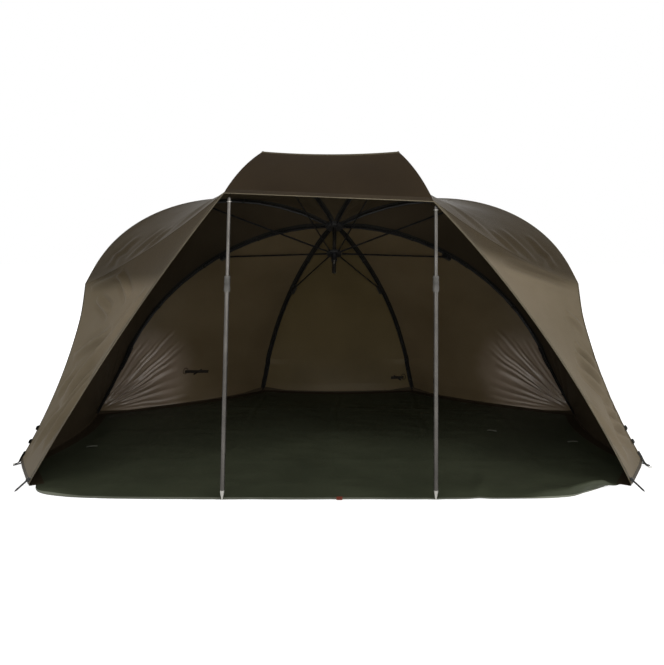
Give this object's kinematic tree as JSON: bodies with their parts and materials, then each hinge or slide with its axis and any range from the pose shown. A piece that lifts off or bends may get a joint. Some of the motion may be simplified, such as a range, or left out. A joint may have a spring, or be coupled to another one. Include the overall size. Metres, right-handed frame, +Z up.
{
  "type": "fishing umbrella",
  "caption": "Shelter-style angling umbrella: rigid oval canopy on folding ribs about a tilted hub, with telescopic front poles and a groundsheet.",
  "frame": {"origin": "on the ground, in the middle of the footprint", "axes": "+Z up, the open front towards -Y, +X to the right as seen from the front"},
  "size_m": [2.8986, 1.8182, 1.4143],
  "materials": {
    "canopy_cloth": "matt waterproof weave",
    "groundsheet_cloth": "matt coated weave",
    "black_moulding": "satin moulded",
    "rib_black": "satin black",
    "gunmetal_tube": "anodised",
    "pale_metal": "plain turned"
  },
  "bodies": {
    "ground_pieces": {"groundsheet": "groundsheet_cloth", "left_storm_pole_lower": "gunmetal_tube", "left_storm_pole_spike": "pale_metal", "left_corner_peg": "black_moulding", "right_storm_pole_lower": "gunmetal_tube", "right_storm_pole_spike": "pale_metal", "right_corner_peg": "black_moulding"},
    "canopy_frame": {"hub_crown": "black_moulding", "top_cap": "black_moulding", "centre_pole": "gunmetal_tube", "pole_insert": "pale_metal", "back_panel": "canopy_cloth", "front_roof_panel": "canopy_cloth", "left_back_side_panel": "canopy_cloth", "left_roof_panel": "canopy_cloth", "left_side_panel": "canopy_cloth", "left_wing_panel": "canopy_cloth", "right_back_side_panel": "canopy_cloth", "right_roof_panel": "canopy_cloth", "right_side_panel": "canopy_cloth", "right_wing_panel": "canopy_cloth", "visor": "canopy_cloth"},
    "runner": {"runner": "black_moulding"},
    "runner_catch": {"runner_catch": "pale_metal"},
    "left_front_centre_rib": {"left_front_centre_rib": "rib_black", "left_front_centre_block": "black_moulding"},
    "left_front_centre_stretcher": {"left_front_centre_stretcher": "rib_black"},
    "right_front_centre_rib": {"right_front_centre_rib": "rib_black", "right_front_centre_block": "black_moulding"},
    "right_front_centre_stretcher": {"right_front_centre_stretcher": "rib_black"},
    "left_front_side_rib": {"left_front_side_rib": "rib_black", "left_front_side_block": "black_moulding"},
    "left_front_side_stretcher": {"left_front_side_stretcher": "rib_black"},
    "left_front_side_lower_rib": {"left_front_side_lower_rib": "rib_black"},
    "right_front_side_rib": {"right_front_side_rib": "rib_black", "right_front_side_block": "black_moulding"},
    "right_front_side_stretcher": {"right_front_side_stretcher": "rib_black"},
    "right_front_side_lower_rib": {"right_front_side_lower_rib": "rib_black"},
    "left_back_side_rib": {"left_back_side_rib": "rib_black", "left_back_side_block": "black_moulding"},
    "left_back_side_stretcher": {"left_back_side_stretcher": "rib_black"},
    "left_back_side_lower_rib": {"left_back_side_lower_rib": "rib_black"},
    "right_back_side_rib": {"right_back_side_rib": "rib_black", "right_back_side_block": "black_moulding"},
    "right_back_side_stretcher": {"right_back_side_stretcher": "rib_black"},
    "right_back_side_lower_rib": {"right_back_side_lower_rib": "rib_black"},
    "left_back_rib": {"left_back_rib": "rib_black", "left_back_block": "black_moulding"},
    "left_back_stretcher": {"left_back_stretcher": "rib_black"},
    "left_back_lower_rib": {"left_back_lower_rib": "rib_black"},
    "right_back_rib": {"right_back_rib": "rib_black", "right_back_block": "black_moulding"},
    "right_back_stretcher": {"right_back_stretcher": "rib_black"},
    "right_back_lower_rib": {"right_back_lower_rib": "rib_black"},
    "left_storm_pole_upper": {"left_storm_pole_upper": "gunmetal_tube"},
    "left_pole_collar": {"left_pole_collar": "black_moulding"},
    "right_storm_pole_upper": {"right_storm_pole_upper": "gunmetal_tube"},
    "right_pole_collar": {"right_pole_collar": "black_moulding"}
  },
  "joints": [
    {"name": "frame_lift", "type": "slide", "parent": "ground_pieces", "child": "canopy_frame", "axis": [0, 0, 1], "range_m": [0, 1.3], "deforming": ["back_panel", "front_roof_panel", "left_back_side_panel", "left_roof_panel", "left_side_panel", "left_wing_panel", "right_back_side_panel", "right_roof_panel", "right_side_panel", "right_wing_panel", "visor"]},
    {"name": "runner_slide", "type": "slide", "parent": "canopy_frame", "child": "runner", "axis": [0, -0.4384, -0.8988], "range_m": [0, 1.0275]},
    {"name": "catch_press", "type": "slide", "parent": "canopy_frame", "child": "runner_catch", "axis": [0, 0.8988, -0.4384], "range_m": [0, 0.0035], "stiffness_N_per_m": 500, "springref_m": -0.003},
    {"name": "left_front_centre_rib_fold", "type": "hinge", "parent": "canopy_frame", "child": "left_front_centre_rib", "pos_m": [-0.01416, 0.02446, 1.10733], "axis": [0.9415, -0.303, 0.1478], "range_deg": [0, 61.45]},
    {"name": "left_front_centre_stretcher_fold", "type": "hinge", "parent": "left_front_centre_rib", "child": "left_front_centre_stretcher", "pos_m": [-0.24528, -0.53416, 1.36138], "axis": [-0.9415, 0.303, -0.1478], "range_deg": [0, 112.06]},
    {"name": "right_front_centre_rib_fold", "type": "hinge", "parent": "canopy_frame", "child": "right_front_centre_rib", "pos_m": [0.01416, 0.02446, 1.10733], "axis": [0.9415, 0.303, -0.1478], "range_deg": [0, 61.45]},
    {"name": "right_front_centre_stretcher_fold", "type": "hinge", "parent": "right_front_centre_rib", "child": "right_front_centre_stretcher", "pos_m": [0.24528, -0.53416, 1.36138], "axis": [-0.9415, -0.303, 0.1478], "range_deg": [0, 112.06]},
    {"name": "left_front_side_rib_fold", "type": "hinge", "parent": "canopy_frame", "child": "left_front_side_rib", "pos_m": [-0.04016, 0.04896, 1.09538], "axis": [0.2924, -0.8595, 0.4192], "range_deg": [0, 64.85]},
    {"name": "left_front_side_stretcher_fold", "type": "hinge", "parent": "left_front_side_rib", "child": "left_front_side_stretcher", "pos_m": [-0.65454, -0.12464, 1.19369], "axis": [-0.2924, 0.8595, -0.4192], "range_deg": [0, 114.04]},
    {"name": "left_front_side_knuckle", "type": "hinge", "parent": "left_front_side_rib", "child": "left_front_side_lower_rib", "pos_m": [-1.11888, -0.45349, 0.81751], "axis": [-0.4673, 0.8756, 0.1227], "range_deg": [0, 55.63]},
    {"name": "right_front_side_rib_fold", "type": "hinge", "parent": "canopy_frame", "child": "right_front_side_rib", "pos_m": [0.04016, 0.04896, 1.09538], "axis": [0.2924, 0.8595, -0.4192], "range_deg": [0, 64.85]},
    {"name": "right_front_side_stretcher_fold", "type": "hinge", "parent": "right_front_side_rib", "child": "right_front_side_stretcher", "pos_m": [0.65454, -0.12464, 1.19369], "axis": [-0.2924, -0.8595, 0.4192], "range_deg": [0, 114.04]},
    {"name": "right_front_side_knuckle", "type": "hinge", "parent": "right_front_side_rib", "child": "right_front_side_lower_rib", "pos_m": [1.11888, -0.45349, 0.81751], "axis": [-0.4673, -0.8756, -0.1227], "range_deg": [0, 55.63]},
    {"name": "left_back_side_rib_fold", "type": "hinge", "parent": "canopy_frame", "child": "left_back_side_rib", "pos_m": [-0.03837, 0.07535, 1.08251], "axis": [-0.4067, -0.8211, 0.4005], "range_deg": [0, 58.75]},
    {"name": "left_back_side_stretcher_fold", "type": "hinge", "parent": "left_back_side_rib", "child": "left_back_side_stretcher", "pos_m": [-0.63627, 0.27437, 0.91026], "axis": [0.4067, 0.8211, -0.4005], "range_deg": [0, 114.76]},
    {"name": "left_back_side_knuckle", "type": "hinge", "parent": "left_back_side_rib", "child": "left_back_side_lower_rib", "pos_m": [-1.16934, 0.29561, 0.38545], "axis": [0.1329, 0.9906, -0.0322], "range_deg": [0, 23.86]},
    {"name": "right_back_side_rib_fold", "type": "hinge", "parent": "canopy_frame", "child": "right_back_side_rib", "pos_m": [0.03837, 0.07535, 1.08251], "axis": [-0.4067, 0.8211, -0.4005], "range_deg": [0, 58.75]},
    {"name": "right_back_side_stretcher_fold", "type": "hinge", "parent": "right_back_side_rib", "child": "right_back_side_stretcher", "pos_m": [0.63627, 0.27437, 0.91026], "axis": [0.4067, -0.8211, 0.4005], "range_deg": [0, 114.76]},
    {"name": "right_back_side_knuckle", "type": "hinge", "parent": "right_back_side_rib", "child": "right_back_side_lower_rib", "pos_m": [1.16934, 0.29561, 0.38545], "axis": [0.1329, -0.9906, 0.0322], "range_deg": [0, 23.86]},
    {"name": "left_back_rib_fold", "type": "hinge", "parent": "canopy_frame", "child": "left_back_rib", "pos_m": [-0.016, 0.0949, 1.07298], "axis": [-0.9245, -0.3425, 0.1671], "range_deg": [0, 53.65]},
    {"name": "left_back_stretcher_fold", "type": "hinge", "parent": "left_back_rib", "child": "left_back_stretcher", "pos_m": [-0.27205, 0.56915, 0.69288], "axis": [0.9245, 0.3425, -0.1671], "range_deg": [0, 115.32]},
    {"name": "left_back_knuckle", "type": "hinge", "parent": "left_back_rib", "child": "left_back_lower_rib", "pos_m": [-0.44585, 0.835, 0.21139], "axis": [0.8859, 0.4528, -0.1008], "range_deg": [0, 14.87]},
    {"name": "right_back_rib_fold", "type": "hinge", "parent": "canopy_frame", "child": "right_back_rib", "pos_m": [0.016, 0.0949, 1.07298], "axis": [-0.9245, 0.3425, -0.1671], "range_deg": [0, 53.65]},
    {"name": "right_back_stretcher_fold", "type": "hinge", "parent": "right_back_rib", "child": "right_back_stretcher", "pos_m": [0.27205, 0.56915, 0.69288], "axis": [0.9245, -0.3425, 0.1671], "range_deg": [0, 115.32]},
    {"name": "right_back_knuckle", "type": "hinge", "parent": "right_back_rib", "child": "right_back_lower_rib", "pos_m": [0.44585, 0.835, 0.21139], "axis": [0.8859, -0.4528, 0.1008], "range_deg": [0, 14.87]},
    {"name": "left_pole_slide", "type": "slide", "parent": "ground_pieces", "child": "left_storm_pole_upper", "axis": [0.024, 0, 0.9997], "range_m": [-0.6, 0]},
    {"name": "left_collar_twist", "type": "hinge", "parent": "ground_pieces", "child": "left_pole_collar", "pos_m": [-0.40677, -0.89, 0.84276], "axis": [0.024, 0, 0.9997], "range_deg": [0, 90]},
    {"name": "right_pole_slide", "type": "slide", "parent": "ground_pieces", "child": "right_storm_pole_upper", "axis": [0, 0, 1], "range_m": [-0.6, 0]},
    {"name": "right_collar_twist", "type": "hinge", "parent": "ground_pieces", "child": "right_pole_collar", "pos_m": [0.427, -0.89, 0.843], "axis": [0, 0, 1], "range_deg": [0, 90]}
  ],
  "couplings": [
    {"joint": "runner_slide", "follows": "frame_lift", "ratio": 0.79},
    {"joint": "left_front_centre_rib_fold", "follows": "frame_lift", "rad_per_m": 0.82433},
    {"joint": "left_front_centre_stretcher_fold", "follows": "frame_lift", "rad_per_m": 1.5038},
    {"joint": "right_front_centre_rib_fold", "follows": "frame_lift", "rad_per_m": 0.82433},
    {"joint": "right_front_centre_stretcher_fold", "follows": "frame_lift", "rad_per_m": 1.5038},
    {"joint": "left_front_side_rib_fold", "follows": "frame_lift", "rad_per_m": 0.86998},
    {"joint": "left_front_side_stretcher_fold", "follows": "frame_lift", "rad_per_m": 1.5303},
    {"joint": "left_front_side_knuckle", "follows": "frame_lift", "rad_per_m": 0.74614},
    {"joint": "right_front_side_rib_fold", "follows": "frame_lift", "rad_per_m": 0.86998},
    {"joint": "right_front_side_stretcher_fold", "follows": "frame_lift", "rad_per_m": 1.5303},
    {"joint": "right_front_side_knuckle", "follows": "frame_lift", "rad_per_m": 0.74614},
    {"joint": "left_back_side_rib_fold", "follows": "frame_lift", "rad_per_m": 0.78808},
    {"joint": "left_back_side_stretcher_fold", "follows": "frame_lift", "rad_per_m": 1.54},
    {"joint": "left_back_side_knuckle", "follows": "frame_lift", "rad_per_m": 0.31972},
    {"joint": "right_back_side_rib_fold", "follows": "frame_lift", "rad_per_m": 0.78808},
    {"joint": "right_back_side_stretcher_fold", "follows": "frame_lift", "rad_per_m": 1.54},
    {"joint": "right_back_side_knuckle", "follows": "frame_lift", "rad_per_m": 0.31972},
    {"joint": "left_back_rib_fold", "follows": "frame_lift", "rad_per_m": 0.71961},
    {"joint": "left_back_stretcher_fold", "follows": "frame_lift", "rad_per_m": 1.5476},
    {"joint": "left_back_knuckle", "follows": "frame_lift", "rad_per_m": 0.19897},
    {"joint": "right_back_rib_fold", "follows": "frame_lift", "rad_per_m": 0.71961},
    {"joint": "right_back_stretcher_fold", "follows": "frame_lift", "rad_per_m": 1.5476},
    {"joint": "right_back_knuckle", "follows": "frame_lift", "rad_per_m": 0.19897}
  ]
}
